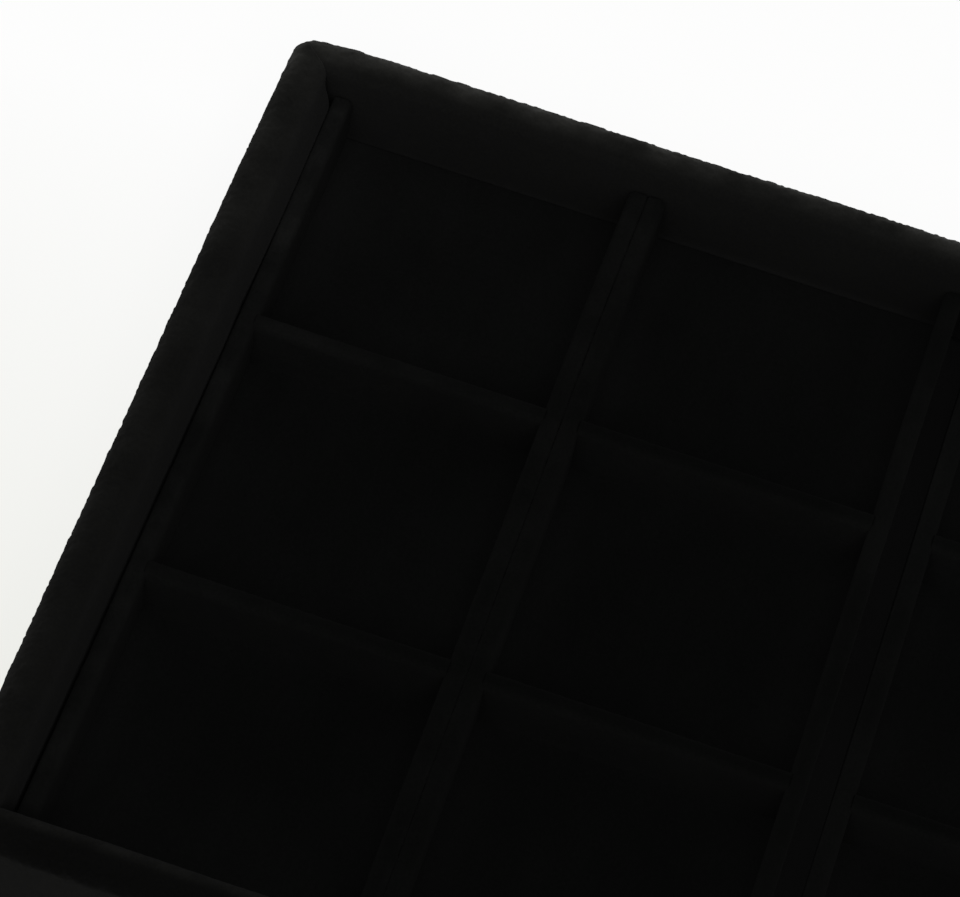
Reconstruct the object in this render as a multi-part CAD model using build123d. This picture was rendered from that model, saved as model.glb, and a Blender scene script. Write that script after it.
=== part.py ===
from build123d import *

import os

# A black velvet jewelry tray. A nailed and mitred frame of board, closed by a base board, is covered
# in velvet, and two loose grid inserts stand on its floor, each with six compartments.
# Millimetres. The origin is the middle of the underside, +X to the right, +Y to the far side, +Z up.

# Materials, as they are bought
velvet_thickness = 1.3
wall_board_thickness = 8.0
base_board_thickness = 2.5
felt_thickness = 0.8
card_thickness = 1.5
strip_board_thickness = 2.0

# Outer tray, measured over its velvet
tray_length = 350.0
tray_width = 240.0
tray_height = 30.0
tray_corner_radius = 6.0
rim_outer_round = 4.0
rim_inner_round = 2.5
foot_round = 1.0
turn_in_width = 14.0
felt_inset = 4.0
felt_corner_radius = 5.0

# Grid inserts
side_gap = 3.0
centre_gap = 6.0
end_gap = 0.8
rim_step = 7.0
strip_round = 1.8
insert_foot_round = 0.8
column_count = 2
row_count = 3

# Flat-wire steel brads: some run through the mitres, the others come up through the base board
brad_width = 1.2
brad_thickness = 1.0
brad_head_width = 2.0
brad_head_height = 0.6
brad_point_length = 2.0
corner_brad_length = 22.0
corner_brad_inset = 6.0
corner_brad_margin = 7.0
base_brad_length = 16.0
long_wall_brad_count = 3
long_wall_brad_spacing = 130.0
short_wall_brad_count = 2
short_wall_brad_spacing = 120.0

# Cutting shapes reach this far past what they cut
overrun = 1.0

# Worked out from the sizes above
rim_thickness = wall_board_thickness + 2 * velvet_thickness
inner_length = tray_length - 2 * rim_thickness
inner_width = tray_width - 2 * rim_thickness
base_board_bottom = felt_thickness + velvet_thickness
base_board_top = base_board_bottom + base_board_thickness
floor_top = base_board_top + velvet_thickness
card_top = floor_top + card_thickness
insert_floor_top = card_top + velvet_thickness
strip_top = tray_height - rim_step
strip_height = strip_top - insert_floor_top
strip_thickness = strip_board_thickness + 2 * velvet_thickness
insert_length = (inner_length - centre_gap - 2 * side_gap) / 2
insert_width = inner_width - 2 * end_gap
cell_length = (insert_length - 2 * column_count * strip_thickness) / column_count
cell_width = (insert_width - (row_count - 1) * strip_thickness) / row_count
column_pitch = cell_length + 2 * strip_thickness
row_pitch = cell_width + strip_thickness
frame_length = tray_length - 2 * velvet_thickness
frame_width = tray_width - 2 * velvet_thickness
frame_corner_radius = tray_corner_radius - velvet_thickness
frame_top = tray_height - velvet_thickness

SIDES = ("far", "near", "left", "right")


def standing_box(length, width, height, bottom):
    """A box centred over the origin that stands on the height called bottom."""
    return Pos(0, 0, bottom + height / 2) * Box(length, width, height)


def rounded_slab(length, width, corner_radius, bottom, height):
    """A slab with rounded upright corners."""
    return extrude(Pos(0, 0, bottom) * RectangleRounded(length, width, corner_radius), height)


def round_rim(ring, outer_round, inner_round):
    """Rounds the outer and the inner edge of a ring's flat top."""
    top = ring.faces().sort_by(Axis.Z)[-1]
    ring = fillet(top.outer_wire().edges(), outer_round)
    top = ring.faces().sort_by(Axis.Z)[-1]
    return fillet(top.inner_wires()[0].edges(), inner_round)


def mitre_block(side):
    """The stretch of the frame between two mitres, cut at 45 degrees from the tray's corners."""
    depth = turn_in_width + overrun
    half_run = tray_length / 2 if side in ("far", "near") else tray_width / 2
    half_across = tray_width / 2 if side in ("far", "near") else tray_length / 2
    outline = Polyline(
        (-half_run - overrun, half_across + overrun),
        (half_run + overrun, half_across + overrun),
        (half_run - depth, half_across - depth),
        (-half_run + depth, half_across - depth),
        close=True,
    )
    turn = {"far": 0, "left": 90, "near": 180, "right": 270}[side]
    block = extrude(make_face(outline), tray_height + overrun)
    return Rot(0, 0, turn) * block


def frame_ring():
    """The four wall boards together, before the mitres part them."""
    height = frame_top - base_board_top
    ring = rounded_slab(frame_length, frame_width, frame_corner_radius, base_board_top, height)
    opening_length = frame_length - 2 * wall_board_thickness
    opening_width = frame_width - 2 * wall_board_thickness
    ring -= standing_box(opening_length, opening_width, height + 2 * overrun, base_board_top - overrun)
    outer_round = rim_outer_round - velvet_thickness
    inner_round = rim_inner_round - velvet_thickness
    return round_rim(ring, outer_round, inner_round)


def base_panel():
    """The base board before its brad holes are made."""
    return rounded_slab(
        frame_length, frame_width, frame_corner_radius, base_board_bottom, base_board_thickness
    )


def velvet_ring():
    """The velvet over all four walls: inner face, rounded rim, outer face and the turn-in below."""
    height = tray_height - felt_thickness
    ring = rounded_slab(tray_length, tray_width, tray_corner_radius, felt_thickness, height)
    foot = ring.faces().sort_by(Axis.Z)[0]
    ring = fillet(foot.outer_wire().edges(), foot_round)
    ring -= standing_box(inner_length, inner_width, tray_height, base_board_top)
    ring = round_rim(ring, rim_outer_round, rim_inner_round)
    window_length = tray_length - 2 * turn_in_width
    window_width = tray_width - 2 * turn_in_width
    ring -= standing_box(window_length, window_width, tray_height, felt_thickness - overrun)
    return ring - frame_ring() - base_panel()


def brad(length):
    """A brad along +X: a T head that starts at the origin, a flat shank and a chisel point."""
    half_head = brad_head_width / 2
    half_shank = brad_width / 2
    outline = Polyline(
        (0, -half_head),
        (brad_head_height, -half_head),
        (brad_head_height, -half_shank),
        (length - brad_point_length, -half_shank),
        (length, 0),
        (length - brad_point_length, half_shank),
        (brad_head_height, half_shank),
        (brad_head_height, half_head),
        (0, half_head),
        close=True,
    )
    return extrude(make_face(outline), brad_thickness / 2, both=True)


def corner_brads():
    """Two brads through each mitre, driven inwards from the short walls."""
    across = frame_width / 2 - corner_brad_inset
    heights = (base_board_top + corner_brad_margin, frame_top - corner_brad_margin)
    brads = []
    for turn in (0, 180):
        for y in (-across, across):
            for z in heights:
                brads.append(Rot(0, 0, turn) * Pos(-frame_length / 2, y, z) * brad(corner_brad_length))
    return brads


def base_brads():
    """Brads up through the base board into the middle of each wall board."""
    long_wall = frame_width / 2 - wall_board_thickness / 2
    short_wall = frame_length / 2 - wall_board_thickness / 2
    long_middle = (long_wall_brad_count - 1) / 2
    short_middle = (short_wall_brad_count - 1) / 2
    places = []
    for n in range(long_wall_brad_count):
        x = (n - long_middle) * long_wall_brad_spacing
        places += [(x, -long_wall), (x, long_wall)]
    for n in range(short_wall_brad_count):
        y = (n - short_middle) * short_wall_brad_spacing
        places += [(-short_wall, y), (short_wall, y)]
    upright = Rot(0, -90, 0) * brad(base_brad_length)
    return [Pos(x, y, base_board_bottom) * upright for x, y in places]


def underside_felt():
    """Felt over the turned-in velvet, thicker inside it, where it meets the base board."""
    cover = rounded_slab(
        tray_length - 2 * felt_inset, tray_width - 2 * felt_inset, felt_corner_radius, 0, felt_thickness
    )
    filling = standing_box(
        tray_length - 2 * turn_in_width,
        tray_width - 2 * turn_in_width,
        base_board_bottom - felt_thickness,
        felt_thickness,
    )
    return cover + filling


def wrapped_strip(length, velvet_over_ends):
    """A strip along Y and the velvet over it, both standing at height zero, as (board, velvet)."""
    board_length = length - 2 * velvet_thickness if velvet_over_ends else length
    board = standing_box(strip_board_thickness, board_length, strip_height - velvet_thickness, 0)
    velvet = standing_box(strip_thickness, length, strip_height, 0)
    top = velvet.faces().sort_by(Axis.Z)[-1]
    edges = top.edges() if velvet_over_ends else top.edges().filter_by(Axis.Y)
    velvet = fillet(edges, strip_round)
    return board, velvet - board


def insert_base():
    """The card of an insert and the velvet over it, as (card, velvet), centred on the origin."""
    card = standing_box(
        insert_length - 2 * velvet_thickness, insert_width - 2 * velvet_thickness, card_thickness, floor_top
    )
    velvet = standing_box(insert_length, insert_width, card_thickness + velvet_thickness, floor_top)
    foot = velvet.faces().sort_by(Axis.Z)[0]
    velvet = fillet(foot.edges(), insert_foot_round)
    return card, velvet - card


def rail_places():
    """X of each rail in an insert: every column has one on each side, back to back in the middle."""
    places = []
    for column in range(column_count):
        centre = (column - (column_count - 1) / 2) * column_pitch
        reach = cell_length / 2 + strip_thickness / 2
        places += [centre - reach, centre + reach]
    return places


def divider_places():
    """X and Y of each divider in an insert, column by column, from the far side to the near side."""
    places = []
    for column in range(column_count):
        x = (column - (column_count - 1) / 2) * column_pitch
        for gap in range(row_count - 1):
            y = (row_count / 2 - 1 - gap) * row_pitch
            places.append((x, y))
    return places


def grid_insert(side):
    """All pieces of one insert, by name, in their places in the tray."""
    x = (insert_length + centre_gap) / 2
    place = Pos(-x if side == "left" else x, 0, 0)
    card, floor = insert_base()
    pieces = {f"{side}_insert_card": place * card, f"{side}_insert_floor_velvet": place * floor}
    board, velvet = wrapped_strip(insert_width, True)
    for n, rail_x in enumerate(rail_places(), start=1):
        spot = place * Pos(rail_x, 0, insert_floor_top)
        pieces[f"{side}_insert_rail_{n}_board"] = spot * board
        pieces[f"{side}_insert_rail_{n}_velvet"] = spot * velvet
    board, velvet = wrapped_strip(cell_length, False)
    for n, (divider_x, divider_y) in enumerate(divider_places(), start=1):
        spot = place * Pos(divider_x, divider_y, insert_floor_top) * Rot(0, 0, 90)
        pieces[f"{side}_insert_divider_{n}_board"] = spot * board
        pieces[f"{side}_insert_divider_{n}_velvet"] = spot * velvet
    return pieces


def outer_tray():
    """All pieces of the outer tray, by name."""
    through_mitres = corner_brads()
    through_base = base_brads()
    pieces = {"base_board": base_panel() - through_base}
    boards = frame_ring() - through_base - through_mitres
    velvet = velvet_ring()
    for side in SIDES:
        block = mitre_block(side)
        pieces[f"{side}_wall_board"] = boards & block
        pieces[f"{side}_wall_velvet"] = velvet & block
    pieces["floor_velvet"] = standing_box(inner_length, inner_width, velvet_thickness, base_board_top)
    pieces["underside_felt"] = underside_felt()
    pieces["corner_brads"] = Compound(through_mitres)
    pieces["base_brads"] = Compound(through_base)
    return pieces


tray = outer_tray() | grid_insert("left") | grid_insert("right")
os.makedirs("parts", exist_ok=True)
for name, piece in tray.items():
    export_step(piece, f"parts/{name}.step")
print(len(tray), "pieces")
print("insert", insert_length, "x", insert_width, "cell", cell_length, "x", cell_width)
print("strip height", strip_height, "strip top", strip_top, "insert floor", insert_floor_top)
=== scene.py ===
# %% [markdown]
# # A black velvet jewelry tray
# The tray is a nailed frame of board with black velvet drawn over it. Two loose grid inserts stand on
# its floor, and each is a card with thin velvet-covered strips that make six compartments.
# Black velvet is a hard thing to draw: the cloth itself returns almost no light, so its shape is told
# by three faint signs only. The standing pile catches light where it is seen edge on, the pile that
# hands have pressed lies flat and turns grey, and the cloth waves a little over the board under it.
# The cells below make the cloth as real meshes and give it a finish with those signs. Along the edges
# that grey is partly pressed pile and partly a painted highlight, and the finish also holds a painted
# sheen, painted shade on tops and low faces, and painted fill light in shaded gaps and towards the far
# left corner.

import math

import bmesh
import bpy
import numpy as np
from mathutils import Matrix, Vector


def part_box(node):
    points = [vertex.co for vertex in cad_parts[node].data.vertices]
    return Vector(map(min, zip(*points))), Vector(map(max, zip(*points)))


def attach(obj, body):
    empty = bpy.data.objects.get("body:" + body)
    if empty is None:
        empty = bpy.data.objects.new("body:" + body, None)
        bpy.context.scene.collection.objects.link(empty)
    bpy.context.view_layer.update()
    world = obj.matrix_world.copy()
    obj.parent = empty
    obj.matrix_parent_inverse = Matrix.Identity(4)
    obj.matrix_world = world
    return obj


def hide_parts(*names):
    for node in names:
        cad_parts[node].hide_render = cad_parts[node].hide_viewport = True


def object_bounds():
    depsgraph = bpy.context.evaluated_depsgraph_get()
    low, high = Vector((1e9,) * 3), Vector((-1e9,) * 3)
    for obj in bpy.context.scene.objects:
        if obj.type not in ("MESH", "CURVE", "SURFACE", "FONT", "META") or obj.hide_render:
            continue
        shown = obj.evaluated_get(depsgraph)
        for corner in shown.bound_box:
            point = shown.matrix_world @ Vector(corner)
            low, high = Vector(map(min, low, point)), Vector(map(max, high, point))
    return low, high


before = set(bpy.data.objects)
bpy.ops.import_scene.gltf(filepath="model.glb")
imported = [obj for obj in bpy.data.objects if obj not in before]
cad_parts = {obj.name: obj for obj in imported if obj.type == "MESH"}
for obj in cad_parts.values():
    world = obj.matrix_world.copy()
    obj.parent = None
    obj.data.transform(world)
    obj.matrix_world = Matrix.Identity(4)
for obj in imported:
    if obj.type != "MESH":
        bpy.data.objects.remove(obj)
model_low, model_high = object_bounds()

# %% [markdown]
# ## Sizes
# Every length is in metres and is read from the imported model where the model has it, so the cloth
# fits the boards. A rounding can't be read from a box, so the main ones are written here.

# %% Sizes of the tray
MM = 0.001
floor_low, floor_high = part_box("floor_velvet")
wall_low, wall_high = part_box("far_wall_velvet")

tray_half_length = model_high.x
tray_half_width = model_high.y
tray_height = model_high.z
velvet_thickness = floor_high.z - floor_low.z
rim_thickness = tray_half_width - floor_high.y
turn_in_width = wall_high.y - wall_low.y
wall_foot = wall_low.z
inner_foot = floor_low.z

tray_corner_radius = 6.0 * MM
rim_outer_round = 4.0 * MM
rim_inner_round = 2.5 * MM
foot_round = 1.0 * MM
strip_round = 1.8 * MM
print("rim", round(rim_thickness / MM, 2), "mm, velvet", round(velvet_thickness / MM, 2), "mm")

# %% [markdown]
# ## Camera
# The camera goes first, because every later choice is judged through it. The photograph is a close
# view of one corner from above, taken with a long lens, with the tray turned a little to the camera.
# Its place was worked out from the tray's straight edges.

# %% Set the camera
camera_place = Vector((-0.0165, -0.5635, 0.8370))
camera_aim = Vector((-0.0968, 0.0167, 0.0300))
camera_roll = math.radians(11.65)
camera_lens = 165.0


def looking(place, aim):
    """The matrix of a camera or a lamp at a place that looks at a point, with its upper side up."""
    return Matrix.Translation(place) @ (aim - place).to_track_quat("-Z", "Y").to_matrix().to_4x4()


camera_data = bpy.data.cameras.new("camera")
camera_data.lens = camera_lens
camera = bpy.data.objects.new("camera", camera_data)
bpy.context.scene.collection.objects.link(camera)
camera.matrix_world = looking(camera_place, camera_aim) @ Matrix.Rotation(camera_roll, 4, "Z")
bpy.context.scene.camera = camera
bpy.context.scene.view_settings.view_transform = "Standard"
print("camera looks from", round((camera_aim - camera_place).length, 3), "m away")

# %% [markdown]
# ## Light and floor
# Product photographs of black cloth are made in a white tent, so that light comes from everywhere and
# hardly any shadow is left. An even white world stands for the tent, and one wide lamp above the near
# side gives the little direction that the photograph has: its shadow falls behind the far rim.
# A single bright lamp would draw hard lines on the velvet. The table is white, and a camera ray sees
# it mixed with its own pale glow, which keeps the shadow but is no light on the tray. The glow greys
# towards the near side, a painted shade in place of light falling off there.

# %% Helpers for materials
def material(name):
    """A new material and its Principled shader."""
    made = bpy.data.materials.new(name)
    made.use_nodes = True
    return made, made.node_tree.nodes["Principled BSDF"]


def feed(tree, socket, value):
    """Gives an input socket a link from another socket, a number, or a colour of three numbers."""
    if isinstance(value, bpy.types.NodeSocket):
        tree.links.new(value, socket)
    else:
        socket.default_value = (*value, 1.0) if isinstance(value, tuple) else value


def feed_all(tree, node, **values):
    """Feeds inputs of a node by name, with underscores for the spaces in their names."""
    for name, value in values.items():
        feed(tree, node.inputs[name.replace("_", " ")], value)


def map_range(tree, value, low, high, lowest=0.0):
    """A Map Range node that turns low to high into lowest to 1. Returns its output."""
    node = tree.nodes.new("ShaderNodeMapRange")
    feed_all(tree, node, Value=value, From_Min=low, From_Max=high, To_Min=lowest)
    return node.outputs["Result"]


def colour_mix(tree, first, second, share):
    """A Mix node of two colours, each a socket or three numbers, by a share socket."""
    node = tree.nodes.new("ShaderNodeMix")
    node.data_type = "RGBA"
    feed_all(tree, node, A=first, B=second, Factor=share)
    return node.outputs["Result"]


def math_node(tree, operation, first, second):
    """A Math node whose two values are sockets or numbers. Returns its output."""
    node = tree.nodes.new("ShaderNodeMath")
    node.operation = operation
    for socket, value in zip(node.inputs, (first, second)):
        feed(tree, socket, value)
    return node.outputs[0]


def camera_ray_mix(tree, plain, seen, share, target):
    """Sends the plain shader to a socket. Camera and glossy rays get a share of the one that is seen."""
    rays = tree.nodes.new("ShaderNodeLightPath")
    to_eye = math_node(tree, "MAXIMUM", rays.outputs["Is Camera Ray"], rays.outputs["Is Glossy Ray"])
    mix = tree.nodes.new("ShaderNodeMixShader")
    tree.links.new(math_node(tree, "MULTIPLY", to_eye, share), mix.inputs["Fac"])
    tree.links.new(plain, mix.inputs[1])
    tree.links.new(seen, mix.inputs[2])
    tree.links.new(mix.outputs[0], target)


# %% Set the world and the lamp
WHITE = (1.0, 1.0, 1.0)
TENT_WALL = (0.985, 0.985, 0.975)
world_light = 0.50
lamp_power = 13.0
lamp_size = 1.3
lamp_place = Vector((0.10, -0.78, 1.25))
lamp_aim = Vector((-0.05, 0, 0))

world = bpy.data.worlds.new("white_tent")
world.use_nodes = True
tent = world.node_tree
tent_light = tent.nodes["Background"]
feed_all(tent, tent_light, Color=WHITE, Strength=world_light)
tent_wall = tent.nodes.new("ShaderNodeBackground")
feed_all(tent, tent_wall, Color=TENT_WALL)
camera_ray_mix(tent, tent_light.outputs[0], tent_wall.outputs[0], share=1.0,
               target=tent.nodes["World Output"].inputs["Surface"])
bpy.context.scene.world = world

lamp_data = bpy.data.lights.new("key_lamp", "AREA")
lamp_data.shape = "SQUARE"
lamp_data.size = lamp_size
lamp_data.energy = lamp_power
lamp = bpy.data.objects.new("key_lamp", lamp_data)
bpy.context.scene.collection.objects.link(lamp)
lamp.matrix_world = looking(lamp_place, lamp_aim)
print("world light", world_light, "and a lamp of", lamp_power, "W,", lamp_size, "m wide")

# %% Lay the white table
TABLE_COLOUR = (0.93, 0.93, 0.915)
# The glow's colour at the near side: a painted shade that greys the table towards it
NEAR_SHADED_GLOW = (0.835, 0.84, 0.79)
table_half = 3.0
glow_share = 0.92
glow_near = -0.12
glow_far = 0.11

corners = [(-1, -1, 0), (1, -1, 0), (1, 1, 0), (-1, 1, 0)]
mesh = bpy.data.meshes.new("white_table")
mesh.from_pydata(np.array(corners) * table_half, [], [(0, 1, 2, 3)])
table = bpy.data.objects.new("white_table", mesh)
bpy.context.scene.collection.objects.link(table)
finish, shader = material("white_table")
tree = finish.node_tree
feed_all(tree, shader, Base_Color=TABLE_COLOUR, Roughness=0.9, Specular_IOR_Level=0.0)
apart = tree.nodes.new("ShaderNodeSeparateXYZ")
tree.links.new(tree.nodes.new("ShaderNodeTexCoord").outputs["Object"], apart.inputs[0])
far = map_range(tree, apart.outputs["Y"], glow_near, glow_far)
glow = tree.nodes.new("ShaderNodeEmission")
feed_all(tree, glow, Color=colour_mix(tree, NEAR_SHADED_GLOW, WHITE, far))
camera_ray_mix(tree, shader.outputs[0], glow.outputs[0], glow_share,
               tree.nodes["Material Output"].inputs["Surface"])
mesh.materials.append(finish)
print("table is", 2 * table_half, "m wide")

# %% [markdown]
# ## Helpers for surfaces
# Cloth over a board is a surface with two directions: along the strip and across it. So every piece
# of velvet here is a grid of points, worked out as one array, and its faces join neighbours in it.

# %% Turn a grid of points into a mesh
def grid_faces(rows, columns, closed=False):
    """Four corner numbers of each cell in a grid of rows times columns points.

    In a closed grid the last column is joined to the first.
    """
    cells = columns if closed else columns - 1
    row, column = np.meshgrid(np.arange(rows - 1), np.arange(cells), indexing="ij")
    first = row * columns + column
    beside = row * columns + (column + 1) % columns
    return np.stack([first, first + columns, beside + columns, beside], -1).reshape(-1, 4)


def end_caps(rows, columns):
    """Two many-sided faces that close the first and the last row of a closed grid."""
    first = np.arange(columns)
    last = (rows - 1) * columns + np.arange(columns)[::-1]
    return [first.tolist(), last.tolist()]


def add_piece(name, points, faces, caps=()):
    """Makes an object with smooth faces from points, quads and a few many-sided caps."""
    mesh = bpy.data.meshes.new(name)
    mesh.from_pydata(points.reshape(-1, 3).tolist(), [], faces.tolist() + list(caps))
    mesh.validate()
    piece = bpy.data.objects.new(name, mesh)
    bpy.context.scene.collection.objects.link(piece)
    smooth = np.ones(len(mesh.polygons), bool)
    smooth[len(faces):] = False
    mesh.polygons.foreach_set("use_smooth", smooth)
    return piece


def grid_normals(grid):
    """Unit normals of a grid of points: the cross product of its two directions."""
    along = np.gradient(grid, axis=0)
    across = np.gradient(grid, axis=1)
    normal = np.cross(along, across)
    return normal / np.maximum(np.linalg.norm(normal, axis=-1, keepdims=True), 1e-12)


# %% [markdown]
# ## The cloth is never quite flat
# Velvet is glued to its board by hand, so it waves slowly over some centimetres, and its pile stands
# in small uneven tufts. Both are the same kind of shape at two sizes: random heights on a lattice,
# joined smoothly. One numpy function moves all points at once and gives the same result each run.

# %% Smooth random heights
HASH_STEPS = (73856093, 19349663, 83492791)
HASH_MIX = 1274126177
LOW_BITS = 0xFFFF


def lattice_noise(points, size, seed):
    """Noise from -1 to 1: random corner values of cubes of that size, blended by 3t^2 - 2t^3."""
    scaled = points / size
    base = np.floor(scaled).astype(np.int64)
    t = scaled - base
    t = t * t * (3 - 2 * t)
    total = np.zeros(points.shape[:-1])
    for corner in np.ndindex(2, 2, 2):
        spot = base + np.array(corner)
        key = np.bitwise_xor.reduce(spot * np.array(HASH_STEPS), axis=-1)
        key = ((key ^ (seed * HASH_MIX)) * HASH_MIX) & 0xFFFFFFFF
        key = ((key ^ (key >> 15)) * HASH_MIX) & 0xFFFFFFFF
        value = ((key >> 8) & LOW_BITS) / (LOW_BITS / 2) - 1
        weight = np.prod(np.where(np.array(corner) == 1, t, 1 - t), axis=-1)
        total += weight * value
    return total


wave_size = 34.0 * MM
wave_height = 0.10 * MM
ripple_size = 8.0 * MM
ripple_height = 0.06 * MM
tuft_size = 0.9 * MM
tuft_height = 0.15 * MM


def bell(distance, width):
    """1 at no distance, falling by exp(-(distance / width)^2)."""
    return np.exp(-(distance / width) ** 2)


def fading(pair, distance):
    """A pair of amount and reach at a distance: amount * exp(-distance / reach)."""
    amount, reach = pair
    return amount * np.exp(-distance / reach)


def cloth_height(points, seed, tufts=1.0):
    """How far the cloth stands off its board: slow waves, short ripples and tufts of pile."""
    return (
        wave_height * lattice_noise(points, wave_size, seed)
        + ripple_height * lattice_noise(points, ripple_size, seed + 1)
        + tufts * tuft_height * lattice_noise(points, tuft_size, seed + 2)
    )


bow_size = 60.0 * MM
bow_reach = 0.35 * MM
bow_seed = 38


def strip_bow(points):
    """How far a thin strip of the grid bows sideways at points, from their place in plan alone."""
    return bow_reach * lattice_noise(points * np.array([1, 1, 0]), bow_size, bow_seed)


# %% [markdown]
# ## Finishes
# All the velvet on the tray is one cloth, seen in four conditions: drawn over the rim, folded over
# the strips, laid flat on the floors, and grey along the edges that hands and boxes touch, which is
# partly pressed pile and partly a painted highlight. What they share goes into node groups, which hold
# no shader, only shades, heights and masks: nap clouds, where the pile leans one way or the other,
# pile grain, the fine tufts themselves, and a mask of pressed pile and painted highlight, which breaks
# up in patches.

# %% Helpers for node groups
def node_group(name, inputs, outputs):
    """An empty shader node group with named float or vector sockets, and its two end nodes."""
    tree = bpy.data.node_groups.new(name, "ShaderNodeTree")
    for socket, kind, value in inputs:
        made = tree.interface.new_socket(socket, in_out="INPUT", socket_type=kind)
        if value is not None:
            made.default_value = value
    for socket, kind in outputs:
        tree.interface.new_socket(socket, in_out="OUTPUT", socket_type=kind)
    return tree, tree.nodes.new("NodeGroupInput"), tree.nodes.new("NodeGroupOutput")


def noise_node(tree, vector, scale, detail, roughness=0.5):
    """A Noise Texture read at a vector. Returns its factor output."""
    node = tree.nodes.new("ShaderNodeTexNoise")
    feed_all(tree, node, Vector=vector, Scale=scale, Detail=detail, Roughness=roughness)
    return node.outputs["Fac"]


def attribute_value(tree, name):
    """The output of an Attribute node that reads one number stored on the piece."""
    node = tree.nodes.new("ShaderNodeAttribute")
    node.attribute_name = name
    return node.outputs["Fac"]


def add_bump(tree, shader, height, strength, distance):
    """Bumps the normal of a shader by a height socket, at that strength over that distance."""
    bump = tree.nodes.new("ShaderNodeBump")
    feed_all(tree, bump, Strength=strength, Distance=distance, Height=height)
    tree.links.new(bump.outputs["Normal"], shader.inputs["Normal"])


def stretched(tree, vector, scale):
    """The vector with its three axes scaled, so that a pattern runs along one of them."""
    node = tree.nodes.new("ShaderNodeMapping")
    node.inputs["Scale"].default_value = scale
    tree.links.new(vector, node.inputs["Vector"])
    return node.outputs["Vector"]


# %% Node group: nap clouds
# Shade near 1 that drifts over centimetres, with finer brushed streaks inside it. A noise is 0.5 on
# average, so the two shares, which add up to 2, give 1 on average.
cloud_scale = 26.0
cloud_share = 1.5
streak_scale = 170.0
streak_share = 0.5
streak_stretch = (1.0, 0.25, 1.0)
tree, start, end = node_group(
    "nap_clouds",
    [("Vector", "NodeSocketVector", None), ("Strength", "NodeSocketFloat", 0.3)],
    [("Shade", "NodeSocketFloat")],
)
clouds = noise_node(tree, start.outputs["Vector"], cloud_scale, detail=2.0)
brushed = stretched(tree, start.outputs["Vector"], streak_stretch)
streaks = noise_node(tree, brushed, streak_scale, detail=2.0)
mixed = math_node(tree, "ADD", math_node(tree, "MULTIPLY", clouds, cloud_share),
                  math_node(tree, "MULTIPLY", streaks, streak_share))
centred = math_node(tree, "SUBTRACT", mixed, 1.0)
swing = math_node(tree, "MULTIPLY", centred, start.outputs["Strength"])
tree.links.new(math_node(tree, "ADD", swing, 1.0), end.inputs["Shade"])
nap_clouds = tree

# %% Node group: pile grain
# Height of the tufts for a Bump node, and a shade that darkens the gaps between them
tree, start, end = node_group(
    "pile_grain",
    [("Vector", "NodeSocketVector", None), ("Tufts per metre", "NodeSocketFloat", 1400.0),
     ("Contrast", "NodeSocketFloat", 0.3)],
    [("Height", "NodeSocketFloat"), ("Shade", "NodeSocketFloat")],
)
tufts = start.outputs["Tufts per metre"]
grain = noise_node(tree, start.outputs["Vector"], tufts, detail=3.0, roughness=0.65)
tree.links.new(grain, end.inputs["Height"])
centred = math_node(tree, "SUBTRACT", grain, 0.5)
contrast = math_node(tree, "MULTIPLY", start.outputs["Contrast"], 2.0)
swing = math_node(tree, "MULTIPLY", centred, contrast)
tree.links.new(math_node(tree, "ADD", swing, 1.0), end.inputs["Shade"])
pile_grain = tree

# %% Node group: pressed pile and painted highlight
# Mask of pressed pile and painted highlight: the piece's own attribute for both, which comes in at
# the Rub input, broken up by patches along the edge
tree, start, end = node_group(
    "worn_and_lit_pile",
    [("Vector", "NodeSocketVector", None), ("Rub", "NodeSocketFloat", 0.0),
     ("Patch scale", "NodeSocketFloat", 60.0)],
    [("Mask", "NodeSocketFloat")],
)
patch_scale = start.outputs["Patch scale"]
patches = noise_node(tree, start.outputs["Vector"], patch_scale, detail=3.0, roughness=0.6)
spread = map_range(tree, patches, 0.35, 0.65, lowest=0.25)
tree.links.new(math_node(tree, "MULTIPLY", spread, start.outputs["Rub"]), end.inputs["Mask"])
worn_and_lit_pile = tree

# %% Velvet finishes
# A grey mixed in as painted fill light, which lightens places where shade falls
PAINTED_FILL_COLOUR = (0.018, 0.018, 0.018)
# The grey of a painted sheen, mixed in where pile is seen edge on
PAINTED_SHEEN_COLOUR = (0.080, 0.080, 0.076)


def place_group(tree, group, **values):
    """A group node in a material's tree, with its inputs fed by name."""
    node = tree.nodes.new("ShaderNodeGroup")
    node.node_tree = group
    feed_all(tree, node, **values)
    return node


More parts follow.
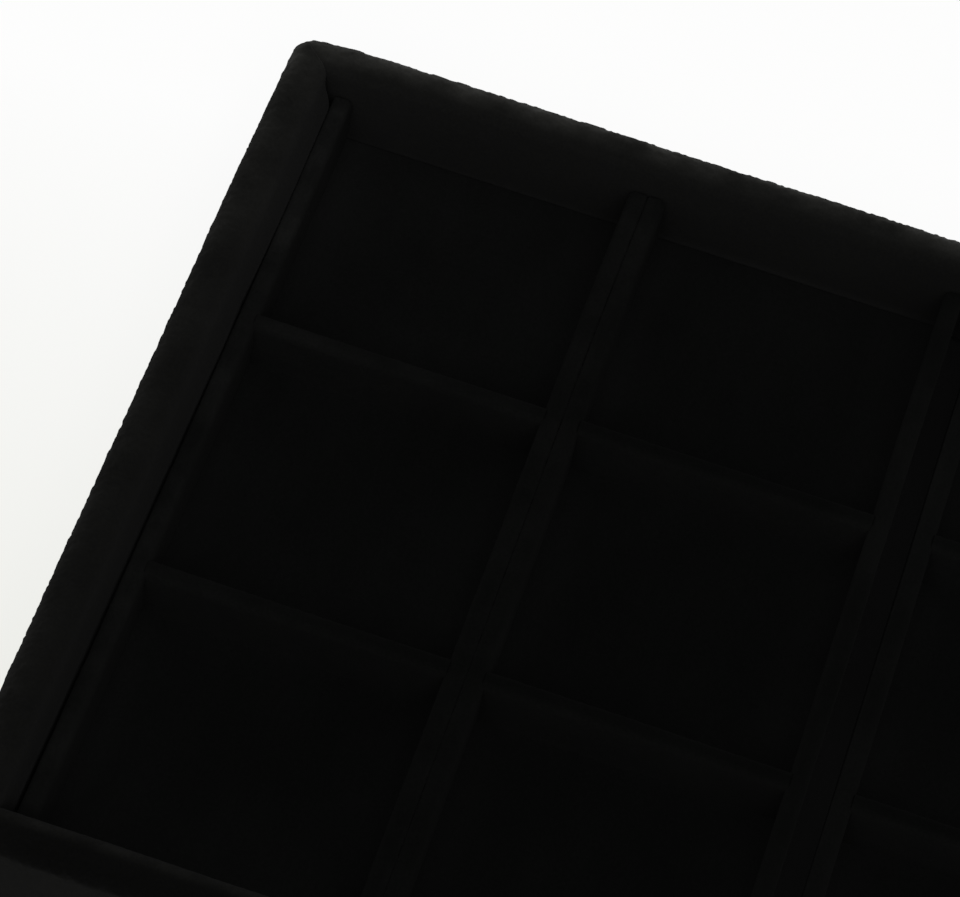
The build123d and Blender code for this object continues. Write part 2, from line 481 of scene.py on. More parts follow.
def velvet(name, side_colour, painted_shade_colour, worn_and_lit_colour, painted_sheen_share, sheen, nap_strength):
    """Short-pile velvet with a weak sheen.

    Its colour is the side colour, turned into a darker colour of painted shade by the piece's shade
    attribute, into a lighter colour where the pile is pressed flat and where a painted highlight lies,
    and into a grey of painted fill light where shade falls. Where that highlight mask is seen edge on, a
    painted sheen is mixed in, by (1 - cos of the view angle) squared. The result is multiplied by the
    nap and grain shades.
    """
    made, shader = material(name)
    tree = made.node_tree
    place = tree.nodes.new("ShaderNodeTexCoord").outputs["Object"]
    nap = place_group(tree, nap_clouds, Vector=place, Strength=nap_strength)
    grain = place_group(tree, pile_grain, Vector=place, Contrast=0.35)
    wear_and_highlight_node = place_group(tree, worn_and_lit_pile, Vector=place, Rub=attribute_value(tree, "wear_and_highlight"))
    # Painted shade: a darker colour by the piece's own attribute for it
    pile = colour_mix(tree, side_colour, painted_shade_colour, attribute_value(tree, "painted_shade"))
    # Pressed pile and painted highlight, by the patched mask
    pile_worn_and_lit = colour_mix(tree, pile, worn_and_lit_colour, wear_and_highlight_node.outputs["Mask"])
    # Painted fill light, by the piece's own attribute for it
    with_painted_fill = colour_mix(tree, pile_worn_and_lit, PAINTED_FILL_COLOUR, attribute_value(tree, "painted_fill"))
    # Painted sheen: a grey mixed in by the view angle where the highlight mask lies
    edge_on = math_node(tree, "POWER", tree.nodes.new("ShaderNodeLayerWeight").outputs["Facing"], 2.0)
    worn_lit_edge = math_node(tree, "MULTIPLY", edge_on, wear_and_highlight_node.outputs["Mask"])
    painted_sheen = math_node(tree, "MULTIPLY", worn_lit_edge, painted_sheen_share)
    with_painted_sheen = colour_mix(tree, with_painted_fill, PAINTED_SHEEN_COLOUR, painted_sheen)
    shaded = tree.nodes.new("ShaderNodeVectorMath")
    shaded.operation = "SCALE"
    tree.links.new(with_painted_sheen, shaded.inputs[0])
    tree.links.new(math_node(tree, "MULTIPLY", nap.outputs["Shade"], grain.outputs["Shade"]),
                   shaded.inputs["Scale"])
    tree.links.new(shaded.outputs[0], shader.inputs["Base Color"])
    add_bump(tree, shader, grain.outputs["Height"], strength=0.6, distance=0.25 * MM)
    feed_all(tree, shader, Roughness=1.0, Specular_IOR_Level=0.0, Sheen_Weight=sheen, Sheen_Roughness=0.6)
    return made


# Each velvet gets a lit side colour, a darker colour of painted shade, and a lighter colour of pressed pile
# and painted highlight
rim_finish = velvet("rim_velvet", (0.0049, 0.0049, 0.0046), (0.0022, 0.0022, 0.0021),
                    (0.0165, 0.0165, 0.0150), painted_sheen_share=1.0, sheen=0.012, nap_strength=0.22)
grid_finish = velvet("grid_velvet", (0.0042, 0.0043, 0.0041), (0.0014, 0.0015, 0.0014),
                     (0.0095, 0.0096, 0.0092), painted_sheen_share=0.0, sheen=0.004, nap_strength=0.40)
floor_finish = velvet("floor_velvet", (0.0028, 0.0029, 0.0028), (0.0018, 0.0019, 0.0018),
                      (0.0030, 0.0031, 0.0030), painted_sheen_share=0.0, sheen=0.005, nap_strength=0.40)


# %% [markdown]
# ## Felt and bare boards
# The felt below is matted fibre, so its grain is coarser and has no nap. The boards and the brads are
# inside, but they are real pieces, so each gets what it is made of: pressed fibre, grey card and steel.

# %% Felt, board and steel finishes
def fibre(name, dark, light, grain_scale, stretch, rough, metallic=0.0, specular=0.5):
    """Pressed fibre, card, felt or drawn wire: two colours mixed by a stretched noise, and a bump."""
    made, shader = material(name)
    tree = made.node_tree
    place = tree.nodes.new("ShaderNodeTexCoord").outputs["Object"]
    drawn = stretched(tree, place, stretch)
    grain = place_group(tree, pile_grain, Vector=drawn, Tufts_per_metre=grain_scale)
    tree.links.new(colour_mix(tree, dark, light, grain.outputs["Height"]), shader.inputs["Base Color"])
    add_bump(tree, shader, grain.outputs["Height"], strength=0.4, distance=0.15 * MM)
    feed_all(tree, shader, Roughness=rough, Metallic=metallic, Specular_IOR_Level=specular)
    return made


felt_finish = fibre("felt", (0.004, 0.004, 0.0045), (0.013, 0.013, 0.014), 700.0, (1, 1, 1), 1.0,
                    specular=0.0)
wall_board_finish = fibre("wall_board", (0.30, 0.20, 0.11), (0.46, 0.34, 0.21), 900.0, (1, 1, 4), 0.8)
base_board_finish = fibre("base_board", (0.10, 0.055, 0.03), (0.19, 0.11, 0.06), 600.0, (1, 1, 1), 0.6)
card_finish = fibre("greyboard", (0.16, 0.155, 0.14), (0.30, 0.29, 0.27), 800.0, (1, 1, 3), 0.9)
steel_finish = fibre("steel", (0.45, 0.45, 0.46), (0.62, 0.62, 0.62), 2500.0, (0.1, 0.1, 1), 0.35,
                     metallic=1.0)
print("finishes", [made.name for made in bpy.data.materials])

# %% [markdown]
# ## Velvet over the four walls
# On the real tray one strip of velvet runs over each wall: up the inner face, over the rounded rim,
# down the outer face and in under the base, with the strips mitred at the corners. So the shape is a
# closed band, a front and a back skin, carried along the wall. The hard part is the corner: the outer
# face goes round an arc there while the inner face meets its neighbour in a sharp line. So the run of
# each profile point depends on its depth behind the outer face, and ends on the 45 degree mitre.
# Only the front skin is moved. It waves, it is pressed at the corners, and on the inner face it hangs
# in a loose, wrinkled belly that leans towards the insert by a share of the room, which is read from
# the frame. The rim is lighter towards its outer edge and its corners, partly pressed pile and partly
# a painted highlight, and lighter towards the far left corner by a painted light.

# %% The cross profile of a wall
skin_step = 0.8 * MM
rim_step = 0.5 * MM
face_step = 1.6 * MM
back_step = 3.0 * MM
station_step = 0.45 * MM
least_round = 0.05 * MM
board_gap = 0.1 * MM
cloth_thickness = velvet_thickness - board_gap


def arc(centre_depth, centre_height, radius, start_degrees, end_degrees, count=24):
    """Points of an arc in a profile plane: centre plus radius times cosine and sine."""
    angle = np.radians(np.linspace(start_degrees, end_degrees, count))
    return np.stack([centre_depth + radius * np.cos(angle), centre_height + radius * np.sin(angle)], -1)


def spaced(line, step):
    """The same line with even steps, by interpolating along its running length."""
    length = np.concatenate([[0], np.cumsum(np.linalg.norm(np.diff(line, axis=0), axis=1))])
    count = max(2, int(round(length[-1] / step)) + 1)
    even = np.linspace(0, length[-1], count)
    return np.stack([np.interp(even, length, line[:, k]) for k in range(line.shape[1])], -1)


def wall_skin(inset, fine, coarse):
    """Depth behind the outer face and height, from the inner foot over the rim to the turn-in's edge.

    An inset above zero gives the line that far inside the cloth, with every rounding smaller by it.
    """
    inner = rim_inner_round - inset
    outer = rim_outer_round - inset
    foot_corner = max(foot_round - inset, least_round)
    rim = np.concatenate([
        arc(rim_thickness - rim_inner_round, tray_height - rim_inner_round, inner, 0, 90),
        arc(rim_outer_round, tray_height - rim_outer_round, outer, 90, 180),
    ])
    corner = inset + foot_corner
    foot = arc(corner, wall_foot + corner, foot_corner, 180, 270)
    inner_face = np.array([(rim_thickness - inset, inner_foot), rim[0]])
    outer_face = np.concatenate([rim[-1:], foot, [(turn_in_width, wall_foot + inset)]])
    parts = [spaced(inner_face, coarse)[:-1], spaced(rim, fine), spaced(outer_face, coarse)[1:]]
    return np.concatenate(parts)


front = wall_skin(0, rim_step, face_step)
back = wall_skin(cloth_thickness, back_step, back_step)[::-1]
profile = np.concatenate([front, back])
print("wall profile has", len(front), "points in front and", len(back), "behind")

# %% Carry the profile along a wall
def wall_plan(share, depth, half_run, half_across):
    """Plan place of a point at a share (-1 to 1) of its own run, at a depth behind the outer face.

    Nearer the face than the corner radius r, the run is a straight length and then an arc of radius
    r - depth over 45 degrees. Deeper, it is straight up to the mitre at half_run - depth.
    """
    radius = np.maximum(tray_corner_radius - depth, 0)
    straight = half_run - np.maximum(tray_corner_radius, depth)
    run = np.abs(share) * (straight + radius * math.pi / 4)
    turned = np.clip((run - straight) / np.maximum(radius, 1e-9), 0, math.pi / 4) * (radius > 0)
    centre = half_across - np.maximum(tray_corner_radius, depth)
    along = np.minimum(run, straight) + radius * np.sin(turned)
    across = centre + radius * np.cos(turned)
    return np.sign(share) * along, across


def wall_grid(half_run, half_across):
    """The far wall's velvet as a grid: stations along the wall times points of the profile."""
    stations = int(round(2 * half_run / station_step)) + 1
    share = np.linspace(-1, 1, stations)[:, None]
    depth = profile[None, :, 0]
    along, across = wall_plan(share, depth, half_run, half_across)
    height = np.broadcast_to(profile[None, :, 1], along.shape)
    return np.stack([along, across, height], -1), share


# %% What happens to the velvet of a wall
# A pair is an amount and the reach over which it fades, but for the gaps. A gap's pair is the height
# below which painted fill light lies in it and the drop over which this fill grows to the full amount.
wall_seed = 11
seam_width = 0.9 * MM
seam_depth = 0.15 * MM
pressed_corner = 1.0 * MM
deepest_press = 1.05 * MM
inner_tufts = 0.3
outer_tufts = 1.6
held_foot = 3.0 * MM
mitre_power = 60

# The rim is lighter by pressed pile and, along its edges, by a painted highlight; a painted light grows
# towards the far left corner
wear_and_highlight_drop = 6.0 * MM
most_wear_and_highlight = 1.5
corner_wear_and_light = 2.2
corner_wear_and_light_reach = 9.0 * MM
inner_corner_share = 0.45
least_far_left_light = 0.3
far_left_light_reach = 100.0 * MM
plain_top_wear_and_light = 0.05
top_wear_and_light_reach = 60.0 * MM
edge_power = 1.8
edge_wear_and_light_along = (1.0, 700.0 * MM)
edge_wear_and_light_at_corner = (0.5, 40.0 * MM)
inner_edge_highlight = 0.26
inner_edge_place = 2.2 * MM
inner_edge_width = 1.3 * MM

# Painted shade grows away from the far side over this reach
painted_shade_reach = 300.0 * MM
# Painted fill light towards the far left corner, the middle gap, on the faces and in the shaded gaps
painted_fill_to_left = (0.15, 80.0 * MM)
painted_fill_to_far = (1.0, 120.0 * MM)
painted_fill_to_middle = (0.04, 15.0 * MM)
face_painted_fill = 1.5
gap_painted_fill = (1.0, 120.0 * MM)
END_GAP = (10.5 * MM, 8.0 * MM)
SIDE_GAP = (23.5 * MM, 3.0 * MM)

belly = (1.0, 450.0 * MM)
belly_top = 1.5 * MM
belly_drop = 5.5 * MM
belly_foot = 3.0 * MM
belly_end = 3.5 * MM
wrinkle_size = 14.0 * MM
wrinkle_height = 0.45 * MM
resting_gap = 0.12 * MM
rail_low, rail_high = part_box("left_insert_rail_1_velvet")
side_room = rail_low.x + tray_half_length - rim_thickness
end_room = tray_half_width - rim_thickness - rail_high.y
print("room beside the inserts", round(side_room / MM, 2), "and", round(end_room / MM, 2), "mm")


def near_top(grid):
    """1 on the top of the rim, falling evenly to 0 over the drop where pile is pressed and painted lighter.
    """
    return np.clip(1 - (tray_height - grid[..., 2]) / wear_and_highlight_drop, 0, 1)


def outward(grid, half_across):
    """1 at the outer face, falling evenly to 0 at the inner face."""
    return np.clip(1 - (half_across - grid[..., 1]) / rim_thickness, 0, 1)


def inside(grid, half_across):
    """1 on the inner face, falling evenly to 0 over the inner rounding of the rim."""
    depth = half_across - grid[..., 1]
    return np.clip(1 - (rim_thickness - depth) / rim_inner_round, 0, 1)


def from_left_and_far(places):
    """How far places are from the tray's left side and from its far side."""
    return places[..., 0] + tray_half_length, tray_half_width - places[..., 1]


def wall_wear_and_highlight(grid, normal, half_across, wear_and_light, places):
    """Pressed pile and painted highlight on the top of the rim, by the shares of its outer edge and top.

    It grows to the outer edge, where it is pressed pile and a painted highlight of pile seen edge on, and
    fades with the distance from the far left corner, a painted light. A wall without those shares is
    only lighter along its inner edge, a painted highlight. Every corner is lighter by a bell of the
    distance from it, the far left one most: partly pressed pile and partly painted light.
    """
    edge = outward(grid, half_across)
    from_end = np.hypot(tray_half_length - np.abs(places[..., 0]), tray_half_width - np.abs(places[..., 1]))
    from_corner = np.hypot(*from_left_and_far(places))
    # Painted light that grows towards the far left corner
    far_left_light = least_far_left_light + (1 - least_far_left_light) * np.exp(-from_corner / far_left_light_reach)
    across = inner_corner_share + (1 - inner_corner_share) * edge ** 2
    corner = far_left_light * across * corner_wear_and_light * bell(from_end, corner_wear_and_light_reach)
    if wear_and_light is None:
        # A painted highlight along the inner edge
        band = bell(edge * rim_thickness - inner_edge_place, inner_edge_width)
        return near_top(grid) * np.clip(inner_edge_highlight * band + corner, 0, 1)
    edge_share, top_share = wear_and_light
    top = plain_top_wear_and_light + fading((top_share, top_wear_and_light_reach), from_corner)
    outer = fading(edge_wear_and_light_along, from_corner) + fading(edge_wear_and_light_at_corner, from_corner)
    both = np.clip(normal[..., 2], 0, 1) * top + edge_share * edge ** edge_power * outer
    return near_top(grid) * (np.clip(both, 0, most_wear_and_highlight) + corner)


def wall_painted_shade(grid, normal, half_across, top, foot, places):
    """Painted shade: by the top's share where it faces up, and growing evenly down the inner face to the
    foot's share, both times 1 + distance from the far side / reach.
    """
    down = (tray_height - grid[..., 2]) / (tray_height - inner_foot)
    growth = 1 + from_left_and_far(places)[1] / painted_shade_reach
    return np.clip(growth * np.maximum(top * normal[..., 2], inside(grid, half_across) * foot * down), 0, 1)


def corner_painted_fill(places):
    """Painted fill light that grows towards the far left corner, as a product of two fading amounts."""
    from_left, from_far = from_left_and_far(places)
    return fading(painted_fill_to_left, from_left) * fading(painted_fill_to_far, from_far)


def middle_painted_fill(places):
    """Painted fill light that grows towards the shaded gap between the inserts."""
    return fading(painted_fill_to_middle, np.abs(places[..., 0]))


def wall_painted_fill(grid, places, half_across, gap):
    """Painted fill light on the inner face: some everywhere, more down in the gap, least at the near side.
    """
    start, drop = gap
    in_gap = np.clip((start - grid[..., 2]) / drop, 0, 1) * fading(gap_painted_fill, from_left_and_far(places)[1])
    return inside(grid, half_across) * np.maximum(face_painted_fill * corner_painted_fill(places), in_gap)


def loose_belly(grid, places, from_end, half_across):
    """Share from 0 to 1 by which loose velvet bellies from the inner face towards the inserts.

    It is nothing at the rim, at the foot and in the corners, and fades away from the far side.
    """
    below = np.clip((tray_height - belly_top - grid[..., 2]) / belly_drop, 0, 1)
    above_foot = np.clip((grid[..., 2] - inner_foot) / belly_foot, 0, 1)
    height = below * below * (3 - 2 * below) * above_foot
    along = (1 - bell(from_end, belly_end)) * fading(belly, from_left_and_far(places)[1])
    return inside(grid, half_across) * height * along


def onto_mitre(grid, share, half_run, half_across):
    """Brings the ends of a moved wall back onto its mitres, where along = half run - depth.

    Each profile line is stretched by its own miss at the end, times the share to a high power.
    """
    last = grid[-1]
    depth = half_across - last[:, 1]
    miss = (half_run - depth) - last[:, 0]
    along = grid[..., 0] + np.sign(share) * np.abs(share) ** mitre_power * miss
    return np.stack([along, grid[..., 1], grid[..., 2]], -1)


def turned_about_z(points, degrees):
    """Points turned about the upright axis."""
    c, s = math.cos(math.radians(degrees)), math.sin(math.radians(degrees))
    return points @ np.array([[c, s, 0], [-s, c, 0], [0, 0, 1.0]])


def mark_cloth(piece, wear_and_highlight=0.0, painted_shade=1.0, painted_fill=0.0):
    """Stores three numbers for each point of a cloth, which its velvet reads."""
    count = len(piece.data.vertices)
    for name, value in (("wear_and_highlight", wear_and_highlight), ("painted_shade", painted_shade), ("painted_fill", painted_fill)):
        attribute = piece.data.attributes.new(name, "FLOAT", "POINT")
        values = np.broadcast_to(np.asarray(value, np.float32).ravel(), (count,))
        attribute.data.foreach_set("value", np.ascontiguousarray(values))


def thicken(piece, thickness):
    """Gives a cloth surface its real thickness, inwards from the face that shows.

    The edges that only one face has are marked sharp, so that the cut edge doesn't shade the face.
    """
    mesh = piece.data
    edge_numbers = np.empty(len(mesh.loops), np.int32)
    mesh.loops.foreach_get("edge_index", edge_numbers)
    border = np.bincount(edge_numbers, minlength=len(mesh.edges)) == 1
    mesh.edges.foreach_set("use_edge_sharp", border)
    solidify = piece.modifiers.new("cloth_thickness", "SOLIDIFY")
    solidify.thickness = thickness
    solidify.offset = -1.0


def dress(piece, body, nodes, finish):
    """Rides a piece on its body, hides the nodes that it stands for and gives it its finish."""
    piece.data.materials.append(finish)
    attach(piece, body)
    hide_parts(*nodes)


def room_inside(side, places):
    """Room between the inner face and the insert beside it, which is a bowed rail on two sides."""
    if side in ("far", "near"):
        return end_room
    rail_side = 1 if side == "left" else -1
    beside = places * np.array([0, 1, 0]) + np.array([rail_side * rail_low.x, 0, 0])
    return side_room + rail_side * strip_bow(beside)


# Each wall's turn in degrees, the shares of pressed pile and painted highlight on its outer edge and
# its top, its painted shade on its top and at its inner foot, how far from its corners it is pressed,
# and the share of the room inside it that its loose velvet takes
WALLS = {
    "far": dict(degrees=0, wear_and_light=(2.4, 0.0), painted_shade=(0.36, 0.35), pressed_reach=9.0 * MM, belly_share=0.6),
    "left": dict(degrees=90, wear_and_light=(0.3, 0.3), painted_shade=(0.36, 2.2), pressed_reach=34.0 * MM, belly_share=1.0),
    "near": dict(degrees=180, wear_and_light=None, painted_shade=(1.8, 0.35), pressed_reach=12.0 * MM, belly_share=0.6),
    "right": dict(degrees=270, wear_and_light=None, painted_shade=(1.8, 0.35), pressed_reach=12.0 * MM, belly_share=0.3),
}


def cover_wall(side, degrees, wear_and_light, painted_shade, pressed_reach, belly_share):
    """Makes the velvet over one wall and returns the piece.

    The front skin moves along its normal by the cloth height less the seam and the pressed corner, no
    deeper than the deepest press, and then by the wrinkled belly, up to the resting gap from the insert.
    """
    long_wall = side in ("far", "near")
    half_run = tray_half_length if long_wall else tray_half_width
    half_across = tray_half_width if long_wall else tray_half_length
    grid, share = wall_grid(half_run, half_across)
    from_end = half_run * (1 - np.abs(share))
    places = turned_about_z(grid, degrees)
    normal = grid_normals(grid)
    # Pressed pile and painted highlight, painted shade, and painted fill light of the wall
    wear_and_highlight = wall_wear_and_highlight(grid, normal, half_across, wear_and_light, places)
    wall_shade_share = wall_painted_shade(grid, normal, half_across, *painted_shade, places)
    painted_fill = wall_painted_fill(grid, places, half_across, END_GAP if long_wall else SIDE_GAP)
    shown = np.clip((grid[..., 2] - wall_foot) / held_foot, 0, 1)
    shown[:, len(front):] = 0
    out = outward(grid, half_across)
    pressed = near_top(grid) * np.sqrt(out) * bell(from_end, pressed_reach)
    height = cloth_height(places, wall_seed, inner_tufts + (outer_tufts - inner_tufts) * out)
    move = height - seam_depth * bell(from_end, seam_width) - pressed_corner * pressed
    room = room_inside(side, places)
    wrinkle = wrinkle_height * lattice_noise(places, wrinkle_size, wall_seed + 5)
    loose = loose_belly(grid, places, from_end, half_across)
    move = np.maximum(move, -deepest_press) + belly_share * (room + wrinkle) * loose
    move = np.minimum(move, room - resting_gap)
    grid = onto_mitre(grid + normal * (shown * move)[..., None], share, half_run, half_across)
    grid = turned_about_z(grid, degrees)
    rows, columns = grid.shape[:2]
    faces = grid_faces(rows, columns, closed=True)
    piece = add_piece(f"{side}_rim_velvet", grid, faces, end_caps(rows, columns))
    mark_cloth(piece, wear_and_highlight, wall_shade_share, painted_fill)
    dress(piece, "tray", [f"{side}_wall_velvet"], rim_finish)
    return piece


for side, wall in WALLS.items():
    made = cover_wall(side, **wall)
    print(made.name, len(made.data.polygons), "faces")


# %% [markdown]
# ## Velvet over the strips of the grid
# A strip is a thin card with velvet folded over its top edge. Its skin is an upside-down U carried
# along the card. The rails' ends show at the gap to the rim, so the U closes there with a soft edge.
# The dividers' ends press into the rails' pile and stay open. Two rails stand back to back in the
# middle of an insert, and where a rail touches its neighbour its fold is tighter. A strip is cut and
# wrapped by hand, so it also bows sideways by a few tenths of a millimetre.

# %% Strips
strip_seed = 31
end_round = 1.0 * MM
pressed_end = 0.4 * MM
held_strip_foot = 2.0 * MM
strip_cloth_share = 0.5
face_painted_shade = 0.25
# The band at a strip's top edge is pressed pile and painted highlight, lighter towards the far left by
# painted light, and the strips get painted fill light towards that corner and at their foot
worn_lit_edge = 1.2 * MM
light_by_left_rim = (0.28, 40.0 * MM)
light_by_far_rim = (0.07, 60.0 * MM)
light_by_far_left_corner = (1.4, 35.0 * MM)
plain_wear_and_highlight = {"rail": 0.10, "divider": 0.03}
strip_painted_fill = 1.2
foot_painted_fill = 0.03
CLOSING = np.array([0.05, 0.15, 0.3, 0.5, 0.75])

# Roundings of a rail's right and left top edge. Rails 2 and 3 press on each other, and rails 1 and 4
# are folded tightly at the insert's outer sides.
side_round = 0.6 * MM
touching_round = 0.45 * MM
RAIL_ROUNDS = {1: (strip_round, side_round), 2: (touching_round, strip_round),
               3: (strip_round, touching_round), 4: (side_round, strip_round)}


def strip_profile(half_thickness, height, rounds):
    """Sideways place and height of the U: up one face, round the top edge and down the other face."""
    right, left = rounds
    line = np.concatenate([
        [(half_thickness, 0)],
        arc(half_thickness - right, height - right, right, 0, 90),
        arc(-half_thickness + left, height - left, left, 90, 180),
        [(-half_thickness, 0)],
    ])
    return spaced(line, skin_step)


def strip_grid(length, thickness, height, rounds, closed_ends):
    """Grid of a strip along Y on the height zero, drawn in by a quarter round at closed ends."""
    line = strip_profile(thickness / 2, height, rounds)
    stations = np.linspace(-length / 2, length / 2, int(round(length / skin_step)) + 1)
    if closed_ends:
        ends = length / 2 - end_round * CLOSING
        stations = np.unique(np.concatenate([stations, -ends, ends]))
    to_end = np.clip(length / 2 - np.abs(stations), 0, end_round)
    inset = end_round - np.sqrt(end_round ** 2 - (end_round - to_end) ** 2)
    inset = inset if closed_ends else 0 * inset
    side = line[None, :, 0] * (1 - inset[:, None] / (thickness / 2))
    up = line[None, :, 1] * (1 - inset[:, None] / height)
    along = np.broadcast_to(stations[:, None], side.shape)
    return np.stack([side, along, up], -1)


def wear_and_far_left_light(places, kind):
    """Pressed pile and painted light of a strip: a little everywhere, more by the left and far rim and
    their corner.
    """
    from_left, from_far = from_left_and_far(places)
    by_rims = fading(light_by_left_rim, from_left) + fading(light_by_far_rim, from_far)
    return plain_wear_and_highlight[kind] + by_rims + fading(light_by_far_left_corner, np.hypot(from_left, from_far))


def node_box(node):
    """Lower corner, middle and size of a CAD node's box, three numbers each."""
    low, high = (np.array(corner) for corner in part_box(node))
    return low, (low + high) / 2, high - low


def cover_strip(node, piece_name, body, kind, rounds):
    """Velvet over the strip that a CAD node holds, along the node's longer side.

    The two roundings of its top edge go from its right side to its left side. A rail's ends are closed.
    Its top edge carries pressed pile and a painted highlight by a bell of the drop from its top. Painted
    shade lies on its top and grows down its faces.
    """
    closed_ends = kind == "rail"
    low, middle, (size_x, size_y, height) = node_box(node)
    along_y = size_y > size_x
    length, thickness = (size_y, size_x) if along_y else (size_x, size_y)
    reach = length if closed_ends else length + 2 * pressed_end
    grid = strip_grid(reach, thickness, height, rounds, closed_ends)
    wear_and_highlight = bell(height - grid[..., 2], worn_lit_edge)
    down = np.clip(1 - grid[..., 2] / height, 0, 1)
    # Painted shade on the top and growing down the faces
    painted_shade = np.clip(np.maximum(grid_normals(grid)[..., 2], face_painted_shade * down), 0, 1)
    grid = (grid if along_y else turned_about_z(grid, 90)) + np.array([middle[0], middle[1], low[2]])
    wear_and_highlight = wear_and_highlight * wear_and_far_left_light(grid, kind)
    normal = grid_normals(grid)
    lift = np.clip((grid[..., 2] - low[2]) / held_strip_foot, 0, 1)
    move = lift * strip_cloth_share * cloth_height(grid, strip_seed)
    bow = lift * strip_bow(grid)
    sideways = np.array([1.0, 0, 0]) if along_y else np.array([0, 1.0, 0])
    grid = grid + normal * move[..., None] + sideways * bow[..., None]
    rows, columns = grid.shape[:2]
    caps = end_caps(rows, columns) if closed_ends else []
    piece = add_piece(piece_name, grid, grid_faces(rows, columns), caps)
    # Painted fill light towards the far left corner and the middle gap, and growing to the shaded foot
    painted_fill = strip_painted_fill * corner_painted_fill(grid) + middle_painted_fill(grid) + foot_painted_fill * down
    mark_cloth(piece, np.minimum(wear_and_highlight, 1), painted_shade, painted_fill)
    thicken(piece, cloth_thickness)
    dress(piece, body, [node], grid_finish)
    return piece


strip_faces = 0
for side in ("left", "right"):
    for kind in ("rail", "divider"):
        for n in range(1, 5):
            node = f"{side}_insert_{kind}_{n}_velvet"
            name = f"{side}_grid_{kind}_{n}"
            rounds = RAIL_ROUNDS[n] if kind == "rail" else (strip_round, strip_round)
            made = cover_strip(node, name, f"{side}_insert", kind, rounds)
            strip_faces += len(made.data.polygons)
print("strips have", strip_faces, "faces")

# %% [markdown]
# ## Velvet on the floors
# The floor of each insert is velvet laid on a card and folded down over the card's four edges. A grid
# covers the top and runs on down the edges. Its corner squares would fold onto themselves, so they
# are left out, as the cloth is cut out there, and the two cut edges are merged.

# %% Floors of the inserts
floor_seed = 51
floor_step = 1.2 * MM
fold_round = 0.8 * MM
below_fold = -1.01 * fold_round
swell_height = 0.12 * MM
swell_reach = 2.5 * MM
swell_waves = 0.6
# Painted fill light that lightens the shade beside the rails, before and behind the dividers, behind the
# near wall and before the far wall: an amount and the reach over which it fades
beside_rails = (0.12, 5.5 * MM)
before_dividers = (0.06, 5.5 * MM)
behind_dividers = (0.09, 10.0 * MM)
behind_near_wall = (0.20, 12.0 * MM)
before_far_wall = (0.09, 25.0 * MM)


def folded_line(half, drop):
    """Place and drop along one direction: down an edge, round the fold, across and down again."""
    corner = arc(half - fold_round, -fold_round, fold_round, 0, 90, 6)
    edge = np.concatenate([[(half, -drop)], corner])
    middle = np.linspace(half - fold_round, -half + fold_round, int(round(2 * half / floor_step)))[1:-1]
    flat = np.stack([middle, 0 * middle], -1)
    mirrored = edge[::-1] * np.array([-1, 1])
    return np.concatenate([edge, flat, mirrored])


def free_of_strips(grid, side):
    """How far each point is from the box of the nearest strip of its insert, and the painted fill light
    there.
    """
    nearest = np.full(grid.shape[:-1], 1.0)
    painted_fill = np.zeros(grid.shape[:-1])
    for kind in ("rail", "divider"):
        for n in range(1, 5):
            _, middle, size = node_box(f"{side}_insert_{kind}_{n}_velvet")
            aside = (np.abs(grid[..., :2] - middle[:2]) - size[:2] / 2).max(axis=-1)
            aside = np.maximum(aside, 0)
            nearest = np.minimum(nearest, aside)
            before = fading(beside_rails if kind == "rail" else before_dividers, aside)
            behind = (grid[..., 1] > middle[1] + size[1] / 2) & (kind == "divider")
            painted_fill = np.maximum(painted_fill, np.where(behind, fading(behind_dividers, aside), before))
    return nearest, painted_fill


def floor_painted_fill(grid, by_strips):
    """Painted fill light on a floor: by strips and walls, and growing to the far left and to the middle
    gap.
    """
    from_near = grid[..., 1] + tray_half_width - rim_thickness
    gathered = np.maximum(by_strips, fading(behind_near_wall, from_near))
    by_far = fading(before_far_wall, tray_half_width - grid[..., 1])
    return gathered + corner_painted_fill(grid) + middle_painted_fill(grid) + by_far


def cover_insert_floor(side):
    """Velvet over an insert's card. Its pile is pressed flat at the strips and swells between them."""
    node = f"{side}_insert_floor_velvet"
    low, middle, size = node_box(node)
    line_x = folded_line(size[0] / 2, size[2])
    line_y = folded_line(size[1] / 2, size[2])
    x, y = np.meshgrid(line_x[:, 0], line_y[:, 0], indexing="ij")
    drop = np.minimum(*np.meshgrid(line_x[:, 1], line_y[:, 1], indexing="ij"))
    grid = np.stack([x + middle[0], y + middle[1], drop + low[2] + size[2]], -1)
    on_top = np.clip(1 + drop / fold_round, 0, 1)
    aside, by_strips = free_of_strips(grid, side)
    swell = swell_height * (1 - np.exp(-aside / swell_reach))
    grid[..., 2] += on_top * swell * (1 + swell_waves * cloth_height(grid, floor_seed) / wave_height)
    faces = grid_faces(*x.shape)
    steep_x, steep_y = np.meshgrid(line_x[:, 1] < below_fold, line_y[:, 1] < below_fold, indexing="ij")
    in_corner = (steep_x & steep_y).ravel()
    faces = faces[~in_corner[faces].any(axis=1)]
    used = np.unique(faces)
    renumber = np.full(x.size, -1)
    renumber[used] = np.arange(len(used))
    piece = add_piece(f"{side}_grid_floor", grid.reshape(-1, 3)[used], renumber[faces])
    # Painted shade on the floor's top, and painted fill light where shade falls
    painted_fill = on_top * floor_painted_fill(grid, by_strips)
    mark_cloth(piece, 0.0, on_top.ravel()[used], painted_fill.ravel()[used])
    merge_close_points(piece)
    thicken(piece, cloth_thickness)
    dress(piece, f"{side}_insert", [node], floor_finish)
    return piece


def merge_close_points(piece):
    """Merges points that lie on each other and turns all faces outwards again."""
    editing = bmesh.new()
    editing.from_mesh(piece.data)
    bmesh.ops.remove_doubles(editing, verts=editing.verts, dist=0.01 * MM)
    bmesh.ops.recalc_face_normals(editing, faces=editing.faces)
    editing.to_mesh(piece.data)
    editing.free()


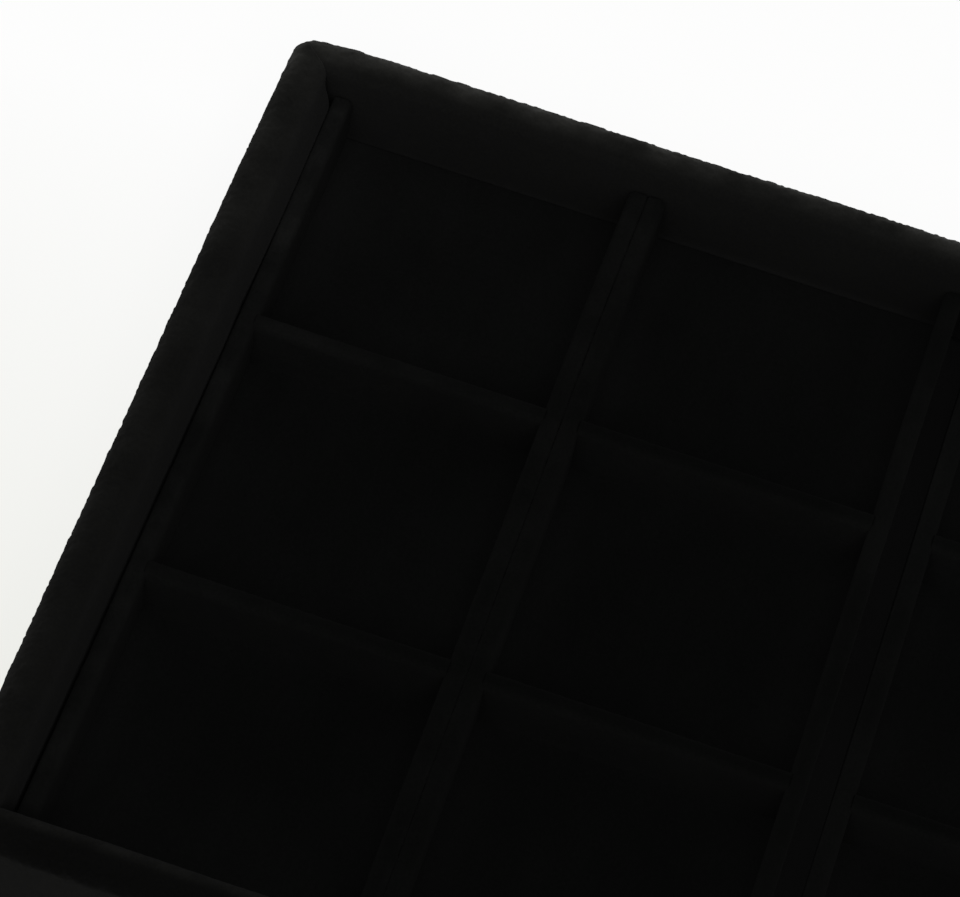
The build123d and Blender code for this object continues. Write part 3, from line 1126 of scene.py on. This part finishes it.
for side in ("left", "right"):
    made = cover_insert_floor(side)
    print(made.name, len(made.data.polygons), "faces")


# %% [markdown]
# ## Lining of the tray and felt below it
# Both are flat sheets with rounded corners: a closed pair of grids, one for each face, joined at the
# edge. The felt is thicker inside the turned-in velvet, where it meets the base board.

# %% Flat sheets
def rounded_plan(half_x, half_y, radius, step):
    """A grid over a rectangle whose corner squares are drawn in to quarter discs.

    In a corner square the offset from the disc's centre is scaled by its longer side over its length.
    """
    nx = int(round(2 * half_x / step)) + 1
    ny = int(round(2 * half_y / step)) + 1
    x, y = np.meshgrid(np.linspace(-half_x, half_x, nx), np.linspace(-half_y, half_y, ny), indexing="ij")
    over_x = np.maximum(np.abs(x) - (half_x - radius), 0)
    over_y = np.maximum(np.abs(y) - (half_y - radius), 0)
    length = np.maximum(np.hypot(over_x, over_y), 1e-12)
    scale = np.where((over_x > 0) & (over_y > 0), np.maximum(over_x, over_y) / length, 1)
    x = np.sign(x) * (np.abs(x) - over_x * (1 - scale))
    y = np.sign(y) * (np.abs(y) - over_y * (1 - scale))
    return x, y


def closed_sheet(name, x, y, bottom, top):
    """A closed piece over a plan grid: its lower and its upper face and the edge between them."""
    rows, columns = x.shape
    count = x.size
    points = np.stack([np.stack([x, y, z + 0 * x], -1) for z in (bottom, top)])
    quads = grid_faces(rows, columns)
    number = np.arange(count).reshape(rows, columns)
    border = np.concatenate([number[:-1, 0], number[-1, :-1], number[:0:-1, -1], number[0, :0:-1]])
    following = np.roll(border, -1)
    edge = np.stack([border, following, following + count, border + count], -1)
    faces = np.concatenate([quads, quads[:, ::-1] + count, edge])
    piece = add_piece(name, points, faces)
    merge_close_points(piece)
    return piece


sheet_step = 2.5 * MM
lining_corner = 0.5 * MM
lining_painted_fill = 0.45
felt_corner = 5.0 * MM
felt_slope = 3.0 * MM

x, y = rounded_plan(floor_high.x, floor_high.y, lining_corner, sheet_step)
lining = closed_sheet("tray_floor_lining", x, y, floor_low.z, floor_high.z)
# The lining, which shows down in the shaded gaps, is lightened with painted fill light
mark_cloth(lining, painted_fill=lining_painted_fill)
dress(lining, "tray", ["floor_velvet"], floor_finish)

felt_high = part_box("underside_felt")[1]
x, y = rounded_plan(felt_high.x, felt_high.y, felt_corner, sheet_step)
to_filling = np.minimum(tray_half_length - np.abs(x), tray_half_width - np.abs(y)) - turn_in_width
raised = np.clip(to_filling / felt_slope, 0, 1)
felt = closed_sheet("underside_felt_panel", x, y, 0, wall_foot + (felt_high.z - wall_foot) * raised)
dress(felt, "tray", ["underside_felt"], felt_finish)
print("lining and felt have", len(lining.data.polygons), "and", len(felt.data.polygons), "faces")

# %% [markdown]
# ## The pieces inside
# Boards, cards and brads have the right shape already, so they only get their finish.

# %% Finish the inner pieces
INNER = {"_brads": steel_finish, "base_board": base_board_finish, "_wall_board": wall_board_finish}
inner_pieces = [(node, piece) for node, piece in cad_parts.items() if not piece.hide_render]
for node, piece in inner_pieces:
    finish = next((made for end, made in INNER.items() if node.endswith(end)), card_finish)
    piece.data.materials.clear()
    piece.data.materials.append(finish)
print(len(inner_pieces), "inner pieces")

# %% [markdown]
# The cloth may stand a little proud of the model. The model's box is printed.

# %% Write the sizes and finish
print("model box", [round(v / MM, 2) for v in (*model_low, *model_high)])
